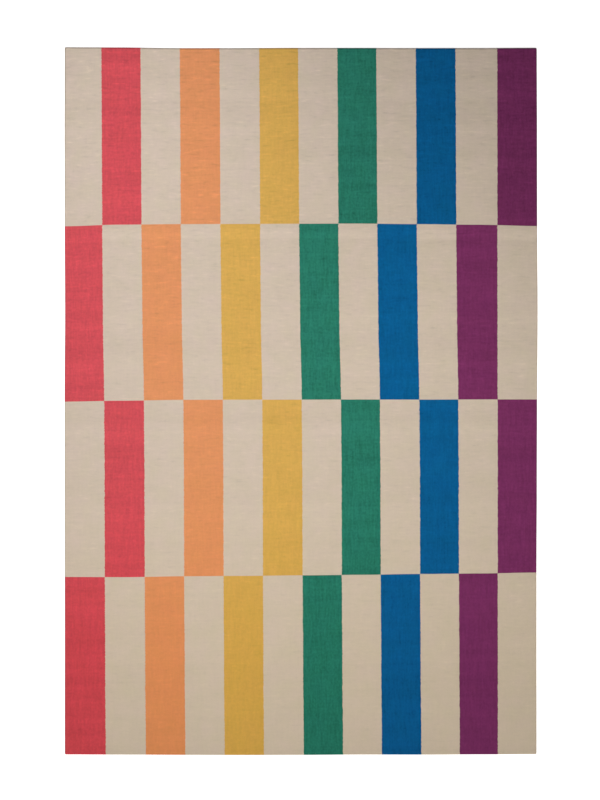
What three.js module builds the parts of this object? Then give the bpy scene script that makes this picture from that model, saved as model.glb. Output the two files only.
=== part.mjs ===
// A flatweave rug lying flat and face up: one woven cotton cloth with closed edges, no fringe and no binding.
// Millimetres, +Z up. The origin is the centre of the underside. +X runs across the rug, along its wefts,
// and +Y runs along it, from the near end to the far end.
import * as THREE from 'three';

// Driving sizes
const RUG_WIDTH = 1200;
const RUG_LENGTH = 1796;
const CLOTH_THICKNESS = 4;

// The edges are half round, so their section reaches in by half the thickness
const EDGE_REACH = CLOTH_THICKNESS / 2;

// Facets: strips across the width, steps round the half-round edge, and even strips along the length
const STRIPS_ACROSS = 8;
const EDGE_STEPS = 4;
const STRIPS_ALONG = 24;
const LEAST_STRIP = 5;

// Undyed cotton ground, dry and matt
const GROUND_COLOUR = 0xd1bfad;
const COTTON_ROUGHNESS = 0.95;

// How far each selvedge stands outside a plain rectangle, by the share of the length from the near end
const SELVEDGES = [
  { along: 0.0, left: -0.1, right: -1.3 },
  { along: 0.125, left: -0.2, right: -1.6 },
  { along: 0.25, left: -0.1, right: -1.5 },
  { along: 0.375, left: 0.2, right: -0.6 },
  { along: 0.5, left: 0.5, right: 0.0 },
  { along: 0.625, left: -0.7, right: 1.5 },
  { along: 0.75, left: 0.2, right: 0.2 },
  { along: 0.875, left: 0.7, right: -0.1 },
  { along: 1.0, left: 0.5, right: -0.7 },
];

// How far each turned-in end stands outside that rectangle, by the share of the width from the left
const ENDS = [
  { across: 0.0, near: -0.5, far: 1.7 },
  { across: 0.125, near: 0.0, far: 1.2 },
  { across: 0.25, near: 0.6, far: -0.7 },
  { across: 0.375, near: 0.9, far: -0.6 },
  { across: 0.5, near: 0.6, far: 0.0 },
  { across: 0.625, near: -0.2, far: -0.1 },
  { across: 0.75, near: 0.0, far: -0.5 },
  { across: 0.875, near: -0.7, far: -0.4 },
  { across: 1.0, near: -1.3, far: 0.1 },
];

// Low ridges straight across the face, from the cloth having been rolled. along is measured from the near end,
// reach is the distance from the crest to the steepest place, and a negative rise is a trough.
const RIDGES = [
  { along: 5, rise: -0.8, reach: 20 },
  { along: 142, rise: 1.3, reach: 33 },
  { along: 285, rise: 0.7, reach: 14 },
  { along: 539, rise: -0.4, reach: 12 },
  { along: 636, rise: 1.0, reach: 22 },
  { along: 833, rise: 1.2, reach: 15 },
  { along: 859, rise: -0.7, reach: 45 },
  { along: 1013, rise: 1.0, reach: 18 },
  { along: 1097, rise: -0.5, reach: 13 },
  { along: 1114, rise: 0.7, reach: 19 },
  { along: 1175, rise: 0.45, reach: 16 },
  { along: 1307, rise: -0.55, reach: 8 },
  { along: 1336, rise: 0.6, reach: 11 },
  { along: 1514, rise: 0.55, reach: 10 },
  { along: 1603, rise: 0.55, reach: 12 },
  { along: 1664, rise: -0.45, reach: 8 },
  { along: 1711, rise: 0.35, reach: 13 },
  { along: 1742, rise: -0.2, reach: 8 },
];

// Lines of points over each ridge, in reaches from its crest
const RIDGE_LINES = [-2, -1, 0, 1, 2];

// Reads one column of a table at a place between its rows, easing from row to row.
function readTable(rows, key, column, place) {
  const found = rows.findIndex((row) => row[key] >= place);
  const next = found === -1 ? rows.length - 1 : Math.max(found, 1);
  const before = rows[next - 1];
  const after = rows[next];
  const eased = THREE.MathUtils.smoothstep(place, before[key], after[key]);
  return THREE.MathUtils.lerp(before[column], after[column], eased);
}

// Height of the face above the underside, at a share of the length.
function faceHeight(along) {
  let height = CLOTH_THICKNESS;
  for (const ridge of RIDGES) {
    const reaches = (along * RUG_LENGTH - ridge.along) / ridge.reach;
    height += ridge.rise * Math.exp(-reaches * reaches / 2);
  }
  return height;
}

// Shares of the length that carry a line of points: even ones, with more of them over the ridges.
function linesAlong() {
  const wanted = Array.from({ length: STRIPS_ALONG }, (_, strip) => strip * RUG_LENGTH / STRIPS_ALONG);
  for (const ridge of RIDGES) {
    wanted.push(...RIDGE_LINES.map((reaches) => ridge.along + reaches * ridge.reach));
  }
  wanted.sort((a, b) => a - b);
  const kept = [0];
  for (const place of wanted) {
    if (place >= kept.at(-1) + LEAST_STRIP && place <= RUG_LENGTH - LEAST_STRIP) {
      kept.push(place);
    }
  }
  kept.push(RUG_LENGTH);
  return kept.map((place) => place / RUG_LENGTH);
}

// One point of the cloth's skin. across and along are shares of its width and length. turn runs round the edge,
// from 0 where the face ends to PI where the underside begins, and moves only points on the rim.
function skinPoint(across, along, turn) {
  const sideX = Math.sign(across - 0.5) * Number(across === 0 || across === 1);
  const sideY = Math.sign(along - 0.5) * Number(along === 0 || along === 1);
  const corner = sideX !== 0 && sideY !== 0 ? Math.SQRT1_2 : 1;
  const outward = EDGE_REACH * Math.sin(turn) * corner;
  const left = -RUG_WIDTH / 2 - readTable(SELVEDGES, 'along', 'left', along) + EDGE_REACH;
  const right = RUG_WIDTH / 2 + readTable(SELVEDGES, 'along', 'right', along) - EDGE_REACH;
  const near = -RUG_LENGTH / 2 - readTable(ENDS, 'across', 'near', across) + EDGE_REACH;
  const far = RUG_LENGTH / 2 + readTable(ENDS, 'across', 'far', across) - EDGE_REACH;
  return new THREE.Vector3(
    THREE.MathUtils.lerp(left, right, across) + sideX * outward,
    THREE.MathUtils.lerp(near, far, along) + sideY * outward,
    faceHeight(along) / 2 * (1 + Math.cos(turn)),
  );
}

// The rim's places on the face's grid, anticlockwise seen from above.
function rimPlaces(columns, rows) {
  const places = [];
  for (let column = 0; column < columns; column++) places.push({ column, row: 0 });
  for (let row = 0; row < rows; row++) places.push({ column: columns, row });
  for (let column = columns; column > 0; column--) places.push({ column, row: rows });
  for (let row = rows; row > 0; row--) places.push({ column: 0, row });
  return places;
}

// The closed cloth: a ridged face, rounded edges and a flat underside.
function clothGeometry() {
  const along = linesAlong();
  const rows = along.length - 1;
  const points = [];
  const triangles = [];

  // The face and the underside, two grids of the same lines
  const addGrid = (turn) => {
    const first = points.length;
    for (const share of along) {
      for (let column = 0; column <= STRIPS_ACROSS; column++) {
        points.push(skinPoint(column / STRIPS_ACROSS, share, turn));
      }
    }
    return (column, row) => first + row * (STRIPS_ACROSS + 1) + column;
  };
  const onFace = addGrid(0);
  const onUnderside = addGrid(Math.PI);
  for (let row = 0; row < rows; row++) {
    for (let column = 0; column < STRIPS_ACROSS; column++) {
      triangles.push(onFace(column, row), onFace(column + 1, row), onFace(column + 1, row + 1));
      triangles.push(onFace(column, row), onFace(column + 1, row + 1), onFace(column, row + 1));
      triangles.push(onUnderside(column, row), onUnderside(column + 1, row + 1), onUnderside(column + 1, row));
      triangles.push(onUnderside(column, row), onUnderside(column, row + 1), onUnderside(column + 1, row + 1));
    }
  }

  // The edges, ring below ring from the face's rim to the underside's
  const rim = rimPlaces(STRIPS_ACROSS, rows);
  const rings = [rim.map((place) => onFace(place.column, place.row))];
  for (let step = 1; step < EDGE_STEPS; step++) {
    const first = points.length;
    for (const place of rim) {
      points.push(skinPoint(place.column / STRIPS_ACROSS, along[place.row], Math.PI * step / EDGE_STEPS));
    }
    rings.push(rim.map((_, index) => first + index));
  }
  rings.push(rim.map((place) => onUnderside(place.column, place.row)));
  for (let step = 0; step < EDGE_STEPS; step++) {
    const upper = rings[step];
    const lower = rings[step + 1];
    for (let index = 0; index < rim.length; index++) {
      const after = (index + 1) % rim.length;
      triangles.push(upper[index], lower[index], upper[after]);
      triangles.push(upper[after], lower[index], lower[after]);
    }
  }

  const geometry = new THREE.BufferGeometry().setFromPoints(points);
  geometry.setIndex(triangles);
  geometry.computeBoundingBox();
  const middle = geometry.boundingBox.getCenter(new THREE.Vector3());
  geometry.translate(-middle.x, -middle.y, 0);
  geometry.computeVertexNormals();
  return geometry;
}

const cotton = new THREE.MeshStandardMaterial({
  color: GROUND_COLOUR,
  roughness: COTTON_ROUGHNESS,
  metalness: 0,
});

const rug = new THREE.Mesh(clothGeometry(), cotton);
rug.name = 'rug';

const flatweaveRug = new THREE.Group();
flatweaveRug.add(rug);

export default flatweaveRug;
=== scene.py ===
# A cotton flatweave rug lying flat and face up on a pale floor, seen from straight above.
# Metres, +Z up. +X runs across the rug, along its wefts, and +Y runs along it, from the near end to the
# far end.
import math
from collections import namedtuple

import bpy
import numpy as np
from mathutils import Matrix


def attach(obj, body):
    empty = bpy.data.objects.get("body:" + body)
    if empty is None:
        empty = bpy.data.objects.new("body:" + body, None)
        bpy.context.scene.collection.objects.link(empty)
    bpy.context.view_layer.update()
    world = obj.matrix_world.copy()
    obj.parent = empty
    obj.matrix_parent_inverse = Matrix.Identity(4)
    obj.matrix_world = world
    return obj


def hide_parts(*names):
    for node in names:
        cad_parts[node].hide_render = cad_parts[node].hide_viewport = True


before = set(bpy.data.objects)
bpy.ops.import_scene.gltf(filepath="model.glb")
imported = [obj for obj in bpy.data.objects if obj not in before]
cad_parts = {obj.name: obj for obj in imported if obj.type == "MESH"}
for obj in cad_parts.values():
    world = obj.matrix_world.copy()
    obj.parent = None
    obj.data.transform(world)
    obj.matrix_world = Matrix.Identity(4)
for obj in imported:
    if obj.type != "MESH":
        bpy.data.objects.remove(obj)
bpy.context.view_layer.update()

MM = 0.001

# Driving sizes of the cloth, and the reach of its half-round edges
RUG_WIDTH = 1200 * MM
RUG_LENGTH = 1796 * MM
CLOTH_THICKNESS = 4 * MM
EDGE_REACH = CLOTH_THICKNESS / 2

# The chart of blocks, and the ribs and wefts that are woven in one block
COLUMNS = 12
ROWS = 4
RIBS_IN_BLOCK = 20
WEFTS_IN_BLOCK = 249
RIBS = COLUMNS * RIBS_IN_BLOCK
WEFTS = ROWS * WEFTS_IN_BLOCK

# One rib runs over each warp. Its section, from a valley to the next crest, is in shares of its depth.
RIB_DEPTH = 0.18 * MM
RIB_SECTION = (-1.0, 0.0)
RIB_UNEVENNESS = 0.16
RIB_SEED = 7

# Facets of the mesh. The lines over a ridge are in reaches from its crest.
POINTS_IN_RIB = len(RIB_SECTION)
FACE_STRIPS = RIBS * POINTS_IN_RIB
FACE_COLUMNS = FACE_STRIPS + 1
STRIPS_ALONG = 12
END_STRIP = 3 * MM
LEAST_STRIP = 4 * MM
RIDGE_LINES = (-2.6, -1.6, -1, -0.5, 0, 0.5, 1, 1.6, 2.6)
EDGE_STEPS = 4
UNDERSIDE_STRIPS = 12

# How far the edges stand outside a plain rectangle, in millimetres. The selvedges are read at even steps
# from the near end to the far end, and the ends at even steps from left to right.
SELVEDGES = {
    "left": (-0.1, -0.2, -0.1, 0.2, 0.5, -0.7, 0.2, 0.7, 0.5),
    "right": (-1.3, -1.6, -1.5, -0.6, 0.0, 1.5, 0.2, -0.1, -0.7),
}
ENDS = {
    "near": (-0.5, 0.0, 0.6, 0.9, 0.6, -0.2, 0.0, -0.7, -1.3),
    "far": (1.7, 1.2, -0.7, -0.6, 0.0, -0.1, -0.5, -0.4, 0.1),
}

# The lines between columns lean to the right at the near end and to the left at the far end, in millimetres
# at even steps along the rug. Each line takes a share of that lean, and is shifted by a few tenths of a
# millimetre or so, to the right where the shift is positive.
LEAN = (6.5, 4.8, 3.5, 2.9, 1.3, -3.0, -5.2, -6.4, -7.8)
ColumnLine = namedtuple("ColumnLine", "lean_share shift")
COLUMN_LINES = (
    ColumnLine(0.77, -0.8),
    ColumnLine(0.95, -0.1),
    ColumnLine(0.98, 0.0),
    ColumnLine(0.91, 0.3),
    ColumnLine(0.84, 0.6),
    ColumnLine(1.02, 0.7),
    ColumnLine(1.02, 0.4),
    ColumnLine(1.00, -0.8),
    ColumnLine(1.00, -0.6),
    ColumnLine(0.78, -1.4),
    ColumnLine(0.10, -0.5),
)

# How far the lines between rows bow towards the far end, in millimetres at even steps from left to right
ROW_LINES = (
    (2.8, 2.3, 4.6, 5.6, 6.9, 8.4, 10.4, 11.7, 14.0),
    (-0.8, 1.5, 3.8, 4.1, 4.3, 4.6, 4.3, 4.8, 4.8),
    (-4.5, -0.3, 1.0, 1.5, 2.0, 2.5, 1.0, -0.5, -3.8),
)

# Low ridges across the face, from the cloth having been rolled, in millimetres. along is measured from the
# near end, reach is the distance from the crest to the steepest place, and a negative rise is a trough.
Ridge = namedtuple("Ridge", "along rise reach")
RIDGES = (
    Ridge(5, -0.8, 20),
    Ridge(142, 1.3, 33),
    Ridge(285, 0.7, 14),
    Ridge(539, -0.4, 12),
    Ridge(636, 1.0, 22),
    Ridge(833, 1.2, 15),
    Ridge(859, -0.7, 45),
    Ridge(1013, 1.0, 18),
    Ridge(1097, -0.5, 13),
    Ridge(1114, 0.7, 19),
    Ridge(1175, 0.45, 16),
    Ridge(1307, -0.55, 8),
    Ridge(1336, 0.6, 11),
    Ridge(1514, 0.55, 10),
    Ridge(1603, 0.55, 12),
    Ridge(1664, -0.45, 8),
    Ridge(1711, 0.35, 13),
    Ridge(1742, -0.2, 8),
)

# The map that the cloth's colours can be baked to. The face takes most of it, and the underside, with the
# edges unrolled round it, takes the strip beside it.
MAP_NAME = "OFBake"
FACE_MAP_SHARE = 0.90
UNDERSIDE_MAP_START = 0.91
EDGE_MAP_SHARE = 0.004

# The yarns, as linear colours. The far colours are a little paler and greyer than the near ones, from a
# painted sheen over the far half of the rug. weft, rib and bar are the spread of the tone in slubs along
# the wefts, along single ribs, and in bars across a block. The last is how much darker the yarn in the far
# row is.
Yarn = namedtuple("Yarn", "near far weft rib bar deeper")
UNDYED = Yarn((0.733, 0.600, 0.454), (0.726, 0.600, 0.482), 0.038, 0.008, 0.0, 0.0)
DYED = (
    Yarn((0.725, 0.076, 0.093), (0.744, 0.096, 0.115), 0.055, 0.043, 0.036, 0.0),
    Yarn((0.862, 0.314, 0.116), (0.850, 0.335, 0.141), 0.050, 0.018, 0.006, 0.0),
    Yarn((0.762, 0.434, 0.086), (0.770, 0.454, 0.108), 0.052, 0.026, 0.008, 0.0),
    Yarn((0.022, 0.199, 0.131), (0.027, 0.218, 0.149), 0.065, 0.083, 0.042, 0.03),
    Yarn((0.004, 0.113, 0.303), (0.004, 0.124, 0.327), 0.065, 0.072, 0.032, 0.045),
    Yarn((0.213, 0.033, 0.129), (0.224, 0.036, 0.134), 0.068, 0.059, 0.034, 0.11),
)

# Shares of the length between which the painted sheen makes the yarn paler, and the share of the slubs that
# the near end has
PAINTED_SHEEN_SHARES = (0.08, 0.5)
NEAR_SLUBS = 0.3

# Patches over which the tone of the yarn changes, in ribs across and wefts along
Patch = namedtuple("Patch", "ribs wefts")
SLUB = Patch(5.0, 3.2)
RIB_STREAK = Patch(1.0, 22.0)
GRAIN = Patch(1.0, 3.6)
CLOUD = Patch(14.0, 40.0)
HUE_CLOUD = Patch(9.0, 26.0)
FIBRE = Patch(0.17, 0.2)
BAR_WEFTS = 9.0
BLOCK_BAR_WEFTS = 15.0

# What long streaks and grain each take of the spread along a rib. Being unrelated, two tones of this share
# make up the whole spread.
STREAK_SHARE = 0.7

# Spread of the tone in bars right across the cloth, in clouds and from float to float
BAR_SPREAD = 0.006
CLOUD_SPREAD = 0.006
FLOAT_SPREAD = 0.006

# Spread of red, green and blue in clouds of a pinker or yellower hue
HUE_SPREAD = (0.008, 0.0, 0.017)

# The sides of a block are not quite straight: they wander, and step in or out from weft to weft, in ribs
WANDER = Patch(10.0, 16.0)
WANDER_SPREAD = 0.045
JAG_SPREAD = 0.07

# Painted shade at the rim of the face: how much darker the yarn is where it is fully shaded, and its share
# of that shade at the rim: at both ends, and along the left selvedge, at even steps from the near end to
# the far end. The right selvedge has no painted shade. Round the edge the shade grows, by this gain where
# the edge is widest, but not beyond 1.
PAINTED_RIM_SHADE = 0.28
NEAR_RIM_SHADING = 0.25
FAR_RIM_SHADING = 1.0
LEFT_RIM_SHADING = (0.25, 0.25, 0.25, 0.25, 0.25, 0.25, 0.25, 0.7, 1.0)
RIM_SHADING_GAIN = 4.0

# Unrelated places to read the noise at, so that no two layers of it repeat each other
LAYERS = {
    "slubs": 3.7,
    "ribs": 11.3,
    "bars": 19.9,
    "clouds": 27.1,
    "grain": 33.1,
    "fibres": 41.3,
    "hue": 53.9,
    "jag": 61.7,
    "wander": 71.9,
    "block_bars": 83.3,
}
BLOCK_LAYER_STEP = 7.3

# Noise lies round its middle, and these gains bring each kind of it to a spread of about 1. Its detail is
# how many finer layers it has.
NOISE_MIDDLE = 0.5
NOISE_GAIN = 7.5
SPECKLE_GAIN = 3.5
SPARSE_GAIN = 0.58
PLAIN_DETAIL = 1.0
FINE_DETAIL = 2.0

# How far inside its range a place in the weave is kept, in ribs or wefts
JUST_INSIDE = 0.001

# The weave's fine relief. A float falls by its whole depth from its middle to its sides, and slubs and
# loose fibres stand these shares of the depth above it.
FLOAT_RELIEF = 0.2 * MM
RELIEF_STRENGTH = 0.4
SLUB_HEIGHT = 0.25
FIBRE_HEIGHT = 0.12

# How dry the cotton is
COTTON_ROUGHNESS = 0.95
COTTON_SPECULAR = 0.03
COTTON_SHEEN = 0.02

# The camera looks straight down with a long lens. The picture is 800 pixels high, and the middle of the rug
# lies about one pixel to the right of the middle of the picture and one below it.
LENS = 85.0
SENSOR = 36.0
PIXEL = 2.54 * MM
PICTURE_HEIGHT = 800 * PIXEL
CAMERA_OFFSET = (-1.1 * PIXEL, 1.15 * PIXEL)

# Light: a soft low key from beyond the near end, four soft boxes overhead, and a little from all round.
# The level is what a white cloth sends back, and the shares are of that level. The strength of a soft box
# is its share on a cloth one metre straight below it. Angles are in degrees.
LIGHT_LEVEL = 0.895
KEY_SHARE = 0.36
KEY_ELEVATION = 32.0
KEY_SOFTNESS = 20.0
KEY_COLOUR = (1.0, 1.0, 0.985)
FILL_SHARE = 0.04
FILL_COLOUR = (1.0, 1.0, 1.0)
SOFT_BOX_SIZE = 0.5
SoftBox = namedtuple("SoftBox", "place strength colour")
SOFT_BOXES = (
    SoftBox((-0.427, 0.718, 0.886), 0.326, (1.0, 1.0, 1.06)),
    SoftBox((-0.377, -0.368, 1.319), 0.762, (1.0, 1.0, 1.015)),
    SoftBox((0.367, 0.250, 0.500), 0.041, (1.0, 1.0, 0.87)),
    SoftBox((0.520, -0.453, 0.935), 0.151, (1.0, 1.0, 0.87)),
)

# The floor is pale and dry, and glows a little, so that it is white in the picture without a shadow on it
FLOOR_COLOUR = (0.85, 0.85, 0.84)
FLOOR_ROUGHNESS = 0.9
FLOOR_SPECULAR = 0.1
FLOOR_GLOW = 0.9
FLOOR_HALF = 400.0


def read_even(values, shares):
    """Reads a row of values, given at even steps from 0 to 1, at these shares, easing from step to step."""
    steps = np.clip(np.asarray(shares, float), 0, 1) * (len(values) - 1)
    before = np.minimum(steps.astype(int), len(values) - 2)
    part = steps - before
    eased = part * part * (3 - 2 * part)
    values = np.asarray(values, float)
    return values[before] * (1 - eased) + values[before + 1] * eased


def face_height(along):
    """Height of the ridged face over the underside, at these shares of the length."""
    height = np.full(len(along), CLOTH_THICKNESS)
    for ridge in RIDGES:
        reaches = (along * RUG_LENGTH / MM - ridge.along) / ridge.reach
        height += ridge.rise * MM * np.exp(-reaches**2 / 2)
    return height


def lines_along():
    """Shares of the length that carry a line of points: ends of rows, even ones, and those over ridges."""
    wanted = [RUG_LENGTH * strip / STRIPS_ALONG for strip in range(STRIPS_ALONG)]
    for ridge in RIDGES:
        wanted += [(ridge.along + reaches * ridge.reach) * MM for reaches in RIDGE_LINES]
    row_ends = [RUG_LENGTH * row / ROWS for row in range(ROWS + 1)]
    kept = [*row_ends, END_STRIP, RUG_LENGTH - END_STRIP]
    for place in sorted(wanted):
        if 0 < place < RUG_LENGTH and min(abs(place - other) for other in kept) >= LEAST_STRIP:
            kept.append(place)
    return np.array(sorted(kept)) / RUG_LENGTH


def column_lines(along):
    """X of the selvedges and the lines between columns, left to right, at these shares of the length."""
    left = -RUG_WIDTH / 2 - read_even(SELVEDGES["left"], along) * MM + EDGE_REACH
    right = RUG_WIDTH / 2 + read_even(SELVEDGES["right"], along) * MM - EDGE_REACH
    between = []
    for number, line in enumerate(COLUMN_LINES, start=1):
        plain = (number / COLUMNS - 0.5) * RUG_WIDTH
        between.append(plain + (line.lean_share * read_even(LEAN, along) + line.shift) * MM)
    return np.stack([left, *between, right], axis=1)


def row_lines(across):
    """Y of the ends and of the lines between rows, from near to far, at these shares of the width."""
    near = -RUG_LENGTH / 2 - read_even(ENDS["near"], across) * MM + EDGE_REACH
    far = RUG_LENGTH / 2 + read_even(ENDS["far"], across) * MM - EDGE_REACH
    between = []
    for number, bow in enumerate(ROW_LINES, start=1):
        plain = (number / ROWS - 0.5) * RUG_LENGTH
        between.append(plain + read_even(bow, across) * MM)
    return np.stack([near, *between, far])


def rib_places():
    """Where the points of each column's ribs lie, as shares of the column's width, with uneven ribs."""
    draw = np.random.default_rng(RIB_SEED)
    places = []
    for _ in range(COLUMNS):
        widths = 1 + RIB_UNEVENNESS * draw.uniform(-1, 1, RIBS_IN_BLOCK)
        valleys = np.concatenate([[0], np.cumsum(widths)]) / widths.sum()
        steps = np.arange(RIBS_IN_BLOCK * POINTS_IN_RIB) / POINTS_IN_RIB
        places.append(np.interp(steps, np.arange(RIBS_IN_BLOCK + 1), valleys))
    return np.array(places)


def face_points(along):
    """The points of the ribbed and ridged face, as a grid of lines along by points across."""
    lines = column_lines(along)
    widths = np.diff(lines, axis=1)
    inside = lines[:, :-1, None] + widths[:, :, None] * rib_places()[None]
    x = np.concatenate([inside.reshape(len(along), -1), lines[:, -1:]], axis=1)

    ends = row_lines(np.linspace(0, 1, FACE_COLUMNS))
    row = np.minimum((along * ROWS).astype(int), ROWS - 1)
    part = (along * ROWS - row)[:, None]
    y = ends[row] * (1 - part) + ends[row + 1] * part

    # The selvedges are level, without a rib's valley
    relief = RIB_DEPTH * np.append(np.tile(RIB_SECTION, RIBS), 0)
    relief[0] = 0
    z = face_height(along)[:, None] + relief[None]
    return np.stack([x, y, np.broadcast_to(z, x.shape)], axis=2)


def face_weave(along):
    """The rib and the weft of each point of the face, and its share of the painted rim shade."""
    rib, weft = np.meshgrid(np.linspace(0, RIBS, FACE_COLUMNS), along * WEFTS)
    rim_shade = np.zeros_like(rib)
    # Painted shade at the rim, along the left selvedge and at both ends
    rim_shade[:, 0] = read_even(LEFT_RIM_SHADING, along)
    rim_shade[0] = NEAR_RIM_SHADING
    rim_shade[-1] = FAR_RIM_SHADING
    return np.stack([rib, weft, rim_shade], axis=2)


def face_outward(lines):
    """The way outward at each point of the face, as -1, 0 or 1 in x and in y. Inside the rim it is 0."""
    outward = np.zeros((lines, FACE_COLUMNS, 2))
    outward[:, 0, 0] = -1
    outward[:, -1, 0] = 1
    outward[0, :, 1] = -1
    outward[-1, :, 1] = 1
    return outward


def rim_places(lines):
    """The rim's places on the face's grid, as (column, line), anticlockwise seen from above."""
    last = lines - 1
    near = [(column, 0) for column in range(FACE_STRIPS)]
    right = [(FACE_STRIPS, line) for line in range(last)]
    far = [(column, last) for column in range(FACE_STRIPS, 0, -1)]
    left = [(0, line) for line in range(last, 0, -1)]
    return near + right + far + left


class Cloth:
    """The closed cloth: its points, the place of each in the weave and round the edge, and its faces."""

    def __init__(self):
        along = lines_along()
        self.lines = len(along)
        self.points = [face_points(along).reshape(-1, 3)]
        self.weave = [face_weave(along).reshape(-1, 3)]
        self.outward = [face_outward(self.lines).reshape(-1, 2)]
        self.count = len(self.points[0])
        self.faces = []

    def on_face(self, column, line):
        """The number of the face's point at this place of its grid."""
        return line * FACE_COLUMNS + column

    def add_points(self, points, weave, outward):
        """Adds points with what is known of them, and says their numbers."""
        first = self.count
        self.points.append(points)
        self.weave.append(weave)
        self.outward.append(outward)
        self.count += len(points)
        return list(range(first, self.count))

    def add_face(self):
        """The face, strip by strip across each line."""
        for line in range(self.lines - 1):
            low = self.on_face(0, line)
            high = self.on_face(0, line + 1)
            self.faces += [
                (low + strip, low + strip + 1, high + strip + 1, high + strip)
                for strip in range(FACE_STRIPS)
            ]

    def add_ring(self, rim, step):
        """One ring of points, so many steps round the half-round edge below the rim."""
        turn = math.pi * step / EDGE_STEPS
        outward = self.outward[0][rim]
        is_corner = np.abs(outward).sum(axis=1) == 2
        reach = np.where(is_corner, math.sqrt(0.5), 1.0)[:, None] * EDGE_REACH
        ring = self.points[0][rim]
        ring[:, :2] += outward * reach * math.sin(turn)
        ring[:, 2] *= (1 + math.cos(turn)) / 2
        weave = self.weave[0][rim]
        # Painted shade: the rim's share of it grows round the edge, but not beyond 1
        rim_shade = weave[:, 2] * (1 + (RIM_SHADING_GAIN - 1) * math.sin(turn))
        weave[:, 2] = np.minimum(rim_shade, 1)
        return self.add_points(ring, weave, outward * (1 - step / EDGE_STEPS))

    def add_edge(self):
        """The half-round edge, ring below ring from the face's rim to the underside's."""
        self.places = rim_places(self.lines)
        rim = [self.on_face(*place) for place in self.places]
        rings = [rim]
        for step in range(1, EDGE_STEPS + 1):
            rings.append(self.add_ring(rim, step))
        after = [*range(1, len(rim)), 0]
        for upper, lower in zip(rings, rings[1:]):
            self.faces += [(upper[i], lower[i], lower[j], upper[j]) for i, j in enumerate(after)]
        self.lowest_ring = rings[-1]

    def add_underside(self):
        """A flat grid with fewer strips than the face. Its end faces take in all the rim's points there."""
        wide = FACE_STRIPS // UNDERSIDE_STRIPS
        last = self.lines - 1
        at = dict(zip(self.places, self.lowest_ring))
        inner = [(column, line) for line in range(1, last) for column in range(wide, FACE_STRIPS, wide)]
        above = [self.on_face(*place) for place in inner]
        flat = self.points[0][above] * (1, 1, 0)
        at.update(zip(inner, self.add_points(flat, self.weave[0][above], self.outward[0][above])))
        for line in range(last):
            near_step = 1 if line == 0 else wide
            far_step = 1 if line + 1 == last else wide
            for column in range(0, FACE_STRIPS, wide):
                far_side = [at[place, line + 1] for place in range(column, column + wide + 1, far_step)]
                near_side = [at[place, line] for place in range(column + wide, column - 1, -near_step)]
                self.faces.append((*far_side, *near_side))


def map_places(weave, outward):
    """Places of the points on the map, as part of the face and as part of the underside and edges."""
    shares = weave[:, :2] / (RIBS, WEFTS)
    face = shares * (FACE_MAP_SHARE, 1)
    size = np.array((1 - UNDERSIDE_MAP_START, 1)) - 2 * EDGE_MAP_SHARE
    low = np.array((UNDERSIDE_MAP_START, 0)) + EDGE_MAP_SHARE
    underside = low + shares * size + outward * EDGE_MAP_SHARE
    return face, underside


def add_map(mesh, weave, outward, face_corners):
    """Lays the mesh out on the map. Its first corners are the face's, and the rest are the other sides'."""
    corners = np.empty(len(mesh.loops), dtype=np.int32)
    mesh.loops.foreach_get("vertex_index", corners)
    face, underside = map_places(weave, outward)
    places = underside[corners]
    places[:face_corners] = face[corners[:face_corners]]
    mesh.uv_layers.new(name=MAP_NAME).data.foreach_set("uv", places.astype(np.float32).ravel())


def add_object(name, data):
    """An object in the scene."""
    thing = bpy.data.objects.new(name, data)
    bpy.context.scene.collection.objects.link(thing)
    return thing


def make_cloth(name):
    """The cloth as an object, centred, with its places in the weave and on the map."""
    cloth = Cloth()
    cloth.add_face()
    face_corners = 4 * len(cloth.faces)
    cloth.add_edge()
    cloth.add_underside()
    points = np.concatenate(cloth.points)
    weave = np.concatenate(cloth.weave)
    points[:, :2] -= (points[:, :2].min(axis=0) + points[:, :2].max(axis=0)) / 2

    mesh = bpy.data.meshes.new(name)
    mesh.from_pydata(points.tolist(), [], cloth.faces)
    mesh.shade_smooth()
    woven = mesh.attributes.new("weave", "FLOAT_VECTOR", "POINT")
    woven.data.foreach_set("vector", weave.astype(np.float32).ravel())
    add_map(mesh, weave, np.concatenate(cloth.outward), face_corners)
    return add_object(name, mesh)


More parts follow.
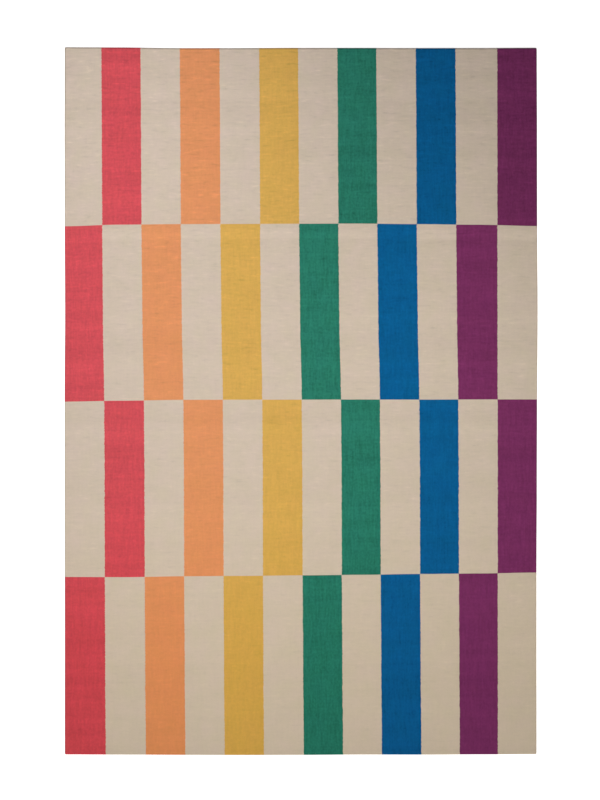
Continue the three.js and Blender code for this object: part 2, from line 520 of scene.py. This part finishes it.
class Shader:
    """Adds nodes to one material. An input is a value or the output of another node."""

    def __init__(self, name):
        self.material = bpy.data.materials.new(name)
        self.material.use_nodes = True
        self.tree = self.material.node_tree
        self.tree.nodes.clear()

    def add(self, kind, inputs, **settings):
        """A node of this kind, with its inputs by name or number."""
        node = self.tree.nodes.new(f"ShaderNode{kind}")
        for name, value in settings.items():
            setattr(node, name, value)
        for name, value in inputs.items():
            if isinstance(value, bpy.types.NodeSocket):
                self.tree.links.new(value, node.inputs[name])
            else:
                node.inputs[name].default_value = value
        return node

    def math(self, operation, *values):
        return self.add("Math", dict(enumerate(values)), operation=operation).outputs[0]

    def add_up(self, first, *others):
        total = first
        for value in others:
            total = self.math("ADD", total, value)
        return total

    def times(self, first, *others):
        product = first
        for value in others:
            product = self.math("MULTIPLY", product, value)
        return product

    def whole(self, value, step=1.0):
        """How many whole steps there are in a value."""
        return self.math("FLOOR", self.math("DIVIDE", value, step))

    def keep_inside(self, value, size):
        """Keeps a value just inside 0 and size, so that its whole part stays in range."""
        return self.math("MAXIMUM", self.math("MINIMUM", value, size - JUST_INSIDE), JUST_INSIDE)

    def join(self, x, y, z=0.0):
        return self.add("CombineXYZ", {0: x, 1: y, 2: z}).outputs[0]

    def split(self, vector):
        return self.add("SeparateXYZ", {0: vector}).outputs

    def vector_math(self, operation, first, inputs):
        return self.add("VectorMath", {0: first, **inputs}, operation=operation).outputs[0]

    def mix(self, share, first, second):
        """A colour between two others, by the numbers of the node's sockets for colours."""
        share_in, first_in, second_in, colour_out = 0, 6, 7, 2
        node = self.add("Mix", {share_in: share, first_in: first, second_in: second}, data_type="RGBA")
        return node.outputs[colour_out]

    def steps(self, value, colours):
        """One of the colours for each equal step of a value from 0 to 1. A new ramp has two stops."""
        node = self.add("ValToRGB", {0: value})
        ramp = node.color_ramp
        ramp.interpolation = "CONSTANT"
        for number, colour in enumerate(colours):
            place = number / len(colours)
            stop = ramp.elements[number] if number < 2 else ramp.elements.new(place)
            stop.position = place
            stop.color = colour
        return node.outputs[0]

    def noise(self, x, y, layer=0.0, detail=PLAIN_DETAIL):
        """Smooth noise with a spread of about 1 either side of 0."""
        inputs = {"Vector": self.join(x, y, layer), "Scale": 1.0, "Detail": detail}
        made = self.add("TexNoise", inputs, noise_dimensions="3D")
        return self.times(self.math("SUBTRACT", made.outputs[0], NOISE_MIDDLE), NOISE_GAIN)

    def patches(self, place, patch, layer, detail=PLAIN_DETAIL):
        """Noise in patches of so many ribs by so many wefts."""
        across = self.math("DIVIDE", place.rib, patch.ribs)
        along = self.math("DIVIDE", place.weft, patch.wefts)
        return self.noise(across, along, layer, detail)

    def bars(self, place, wefts, layer):
        """Noise in bars of so many wefts."""
        return self.noise(layer, self.math("DIVIDE", place.weft, wefts), detail=FINE_DETAIL)

    def sparse(self, value):
        """Makes the large values of a noise larger and rarer, and keeps its sign and its spread."""
        return self.times(value, self.math("ABSOLUTE", value), SPARSE_GAIN)

    def speckle(self, x, y):
        """A value of its own for each pair of whole numbers, with a spread of about 1 either side of 0."""
        made = self.add("TexWhiteNoise", {"Vector": self.join(x, y)}, noise_dimensions="3D")
        return self.times(self.math("SUBTRACT", made.outputs["Value"], NOISE_MIDDLE), SPECKLE_GAIN)


def opaque(colour):
    """A colour or three values with full opacity, as colour sockets want them."""
    return (*colour, 1.0)


# Where a point lies in the weave, which block of the chart it is in, and its share of the painted rim
# shade.
# dye runs from 0 to 1 through the dyes, from left to right.
Place = namedtuple("Place", "rib weft far_share packing")
Block = namedtuple("Block", "row column dye is_undyed")


def weave_place(shader):
    """The rib and the weft that a point is on, its share of the way to the far end, and its share of the
    painted rim shade.
    """
    woven = shader.add("Attribute", {}, attribute_name="weave", attribute_type="GEOMETRY")
    rib, weft, packing = shader.split(woven.outputs["Vector"])
    weft_inside = shader.keep_inside(weft, WEFTS)
    far_share = shader.math("DIVIDE", weft_inside, WEFTS)
    return Place(shader.keep_inside(rib, RIBS), weft_inside, far_share, packing)


def chart_block(shader, place):
    """A block is dyed where its column and row are both even or both odd, and two columns share a dye."""
    jag = shader.times(shader.speckle(shader.whole(place.weft), LAYERS["jag"]), JAG_SPREAD)
    wander = shader.times(shader.patches(place, WANDER, LAYERS["wander"]), WANDER_SPREAD)
    charted_rib = shader.keep_inside(shader.add_up(place.rib, jag, wander), RIBS)
    column = shader.whole(charted_rib, RIBS_IN_BLOCK)
    row = shader.whole(place.weft, WEFTS_IN_BLOCK)
    is_undyed = shader.math("MODULO", shader.add_up(column, row), 2.0)
    dye = shader.math("DIVIDE", shader.add_up(column, 0.5), COLUMNS)
    return Block(row, column, dye, is_undyed)


def by_yarn(shader, block, read):
    """Three values that are read from the yarn of the block."""
    dyed = shader.steps(block.dye, [opaque(read(yarn)) for yarn in DYED])
    return shader.mix(block.is_undyed, dyed, opaque(read(UNDYED)))


def yarn_colour(shader, place, block):
    """The colour of the yarn, with a painted sheen that makes it paler and greyer in the far half."""
    start, end = PAINTED_SHEEN_SHARES
    inputs = {"Value": place.far_share, "From Min": start, "From Max": end}
    # Painted sheen: the yarn turns paler and greyer towards the far end
    painted_sheen = shader.add("MapRange", inputs, interpolation_type="SMOOTHSTEP")
    near = by_yarn(shader, block, lambda yarn: yarn.near)
    far = by_yarn(shader, block, lambda yarn: yarn.far)
    return shader.mix(painted_sheen.outputs[0], near, far)


def yarn_tone(shader, place, block, slubs):
    """The tone of the yarn by its slubs, along its rib and in bars across its block."""
    spreads = by_yarn(shader, block, lambda yarn: (yarn.weft, yarn.rib, yarn.bar))
    weft_spread, rib_spread, bar_spread = shader.split(spreads)
    slub_share = shader.add("MapRange", {"Value": place.far_share, "To Min": NEAR_SLUBS}).outputs[0]
    streaks = shader.patches(place, RIB_STREAK, LAYERS["ribs"])
    grain = shader.patches(place, GRAIN, LAYERS["grain"])
    own_layer = shader.add_up(shader.times(block.column, BLOCK_LAYER_STEP), LAYERS["block_bars"])
    bars = shader.bars(place, BLOCK_BAR_WEFTS, own_layer)
    return shader.add_up(
        shader.times(slubs, weft_spread, slub_share),
        shader.times(shader.add_up(streaks, grain), rib_spread, STREAK_SHARE),
        shader.times(bars, bar_spread),
    )


def cloth_tone(shader, place, block):
    """The tone of the cloth in bars right across it, in clouds and in its far row, with painted shade at
    its rim.
    """
    bars = shader.bars(place, BAR_WEFTS, LAYERS["bars"])
    clouds = shader.patches(place, CLOUD, LAYERS["clouds"])
    is_far_row = shader.math("COMPARE", block.row, ROWS - 1, 0.5)
    # The far row's green, blue and purple yarn is darker
    deeper = shader.split(by_yarn(shader, block, lambda yarn: (yarn.deeper, 0.0, 0.0)))[0]
    return shader.add_up(
        1.0,
        shader.times(bars, BAR_SPREAD),
        shader.times(clouds, CLOUD_SPREAD),
        shader.times(is_far_row, deeper, -1.0),
        # Painted shade at the rim of the face and round its edge
        shader.times(place.packing, -PAINTED_RIM_SHADE),
    )


def hue_tint(shader, place):
    """Clouds of a pinker or yellower hue."""
    clouds = shader.patches(place, HUE_CLOUD, LAYERS["hue"])
    return shader.join(*(shader.add_up(1.0, shader.times(clouds, spread)) for spread in HUE_SPREAD))


def float_height(shader, place, float_place, slubs):
    """Each float is a small cushion over its rib, with slubs and loose fibres on it."""
    from_middle = shader.math("SUBTRACT", shader.math("FRACT", float_place), 0.5)

    # Four times the square, so that the cushion falls by 1 in the half step from its middle to its sides
    cushion = shader.times(shader.math("POWER", from_middle, 2.0), -4.0)
    fibres = shader.patches(place, FIBRE, LAYERS["fibres"], FINE_DETAIL)
    return shader.add_up(cushion, shader.times(slubs, SLUB_HEIGHT), shader.times(fibres, FIBRE_HEIGHT))


def woven_cotton():
    """Cotton in a weft-faced plain weave, dyed by the chart of blocks."""
    shader = Shader("woven_cotton")
    place = weave_place(shader)
    block = chart_block(shader, place)
    slubs = shader.sparse(shader.patches(place, SLUB, LAYERS["slubs"]))

    # In plain weave the floats on every other rib lie half a step further along
    whole_rib = shader.whole(place.rib)
    half_step = shader.times(shader.math("MODULO", whole_rib, 2.0), 0.5)
    float_place = shader.add_up(place.weft, half_step)
    float_tone = shader.times(shader.speckle(whole_rib, shader.whole(float_place)), FLOAT_SPREAD)

    own_tone = yarn_tone(shader, place, block, slubs)
    tone = shader.add_up(cloth_tone(shader, place, block), own_tone, float_tone)
    toned = shader.vector_math("SCALE", yarn_colour(shader, place, block), {"Scale": tone})
    tinted = shader.vector_math("MULTIPLY", toned, {1: hue_tint(shader, place)})
    relief = shader.add("Bump", {
        "Height": float_height(shader, place, float_place, slubs),
        "Strength": RELIEF_STRENGTH,
        "Distance": FLOAT_RELIEF,
    })
    cotton = shader.add("BsdfPrincipled", {
        "Base Color": tinted,
        "Roughness": COTTON_ROUGHNESS,
        "Specular IOR Level": COTTON_SPECULAR,
        "Sheen Weight": COTTON_SHEEN,
        "Normal": relief.outputs[0],
    })
    shader.add("OutputMaterial", {"Surface": cotton.outputs[0]})
    return shader.material


def floor_white():
    """A pale and dry floor with a glow of its own."""
    shader = Shader("floor_white")
    white = shader.add("BsdfPrincipled", {
        "Base Color": opaque(FLOOR_COLOUR),
        "Roughness": FLOOR_ROUGHNESS,
        "Specular IOR Level": FLOOR_SPECULAR,
        "Emission Color": opaque(FLOOR_COLOUR),
        "Emission Strength": FLOOR_GLOW,
    })
    shader.add("OutputMaterial", {"Surface": white.outputs[0]})
    return shader.material


def make_floor():
    """One large square at the height of the rug's underside."""
    half = FLOOR_HALF
    corners = [(-half, -half, 0.0), (half, -half, 0.0), (half, half, 0.0), (-half, half, 0.0)]
    mesh = bpy.data.meshes.new("floor")
    mesh.from_pydata(corners, [], [(0, 1, 2, 3)])
    mesh.materials.append(floor_white())
    return add_object("floor", mesh)


def add_light(name, kind, energy, colour):
    """A light that the camera doesn't see."""
    lamp = bpy.data.lights.new(name, kind)
    lamp.energy = energy
    lamp.color = colour
    light = add_object(name, lamp)
    light.visible_camera = False
    return light


def make_key():
    """The key is a sun whose light on level cloth doesn't depend on how low it stands."""
    elevation = math.radians(KEY_ELEVATION)
    key = add_light("key", "SUN", math.pi * KEY_SHARE * LIGHT_LEVEL / math.sin(elevation), KEY_COLOUR)
    key.data.angle = math.radians(KEY_SOFTNESS)
    key.rotation_euler = (math.pi / 2 - elevation, 0, 0)


def make_soft_boxes():
    """Small soft boxes that face straight down."""
    for number, box in enumerate(SOFT_BOXES, start=1):
        energy = math.pi**2 * box.strength * LIGHT_LEVEL
        light = add_light(f"soft_box_{number}", "AREA", energy, box.colour)
        light.data.size = SOFT_BOX_SIZE
        light.location = box.place


def make_fill():
    """A little light from all round."""
    world = bpy.data.worlds.new("studio")
    world.use_nodes = True
    background = world.node_tree.nodes["Background"]
    background.inputs["Color"].default_value = opaque(FILL_COLOUR)
    background.inputs["Strength"].default_value = FILL_SHARE * LIGHT_LEVEL
    bpy.context.scene.world = world


def make_camera():
    """The camera, at the height from which the picture is as high as PICTURE_HEIGHT on the cloth."""
    lens = bpy.data.cameras.new("camera")
    lens.lens = LENS
    lens.sensor_width = SENSOR
    camera = add_object("camera", lens)
    camera.location = (*CAMERA_OFFSET, CLOTH_THICKNESS + PICTURE_HEIGHT * LENS / SENSOR)
    bpy.context.scene.camera = camera


make_camera()
make_key()
make_soft_boxes()
make_fill()
bpy.context.scene.view_settings.view_transform = "Standard"
make_floor()

rug = make_cloth("woven_rug")
rug.data.materials.append(woven_cotton())
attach(rug, "root")
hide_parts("rug")
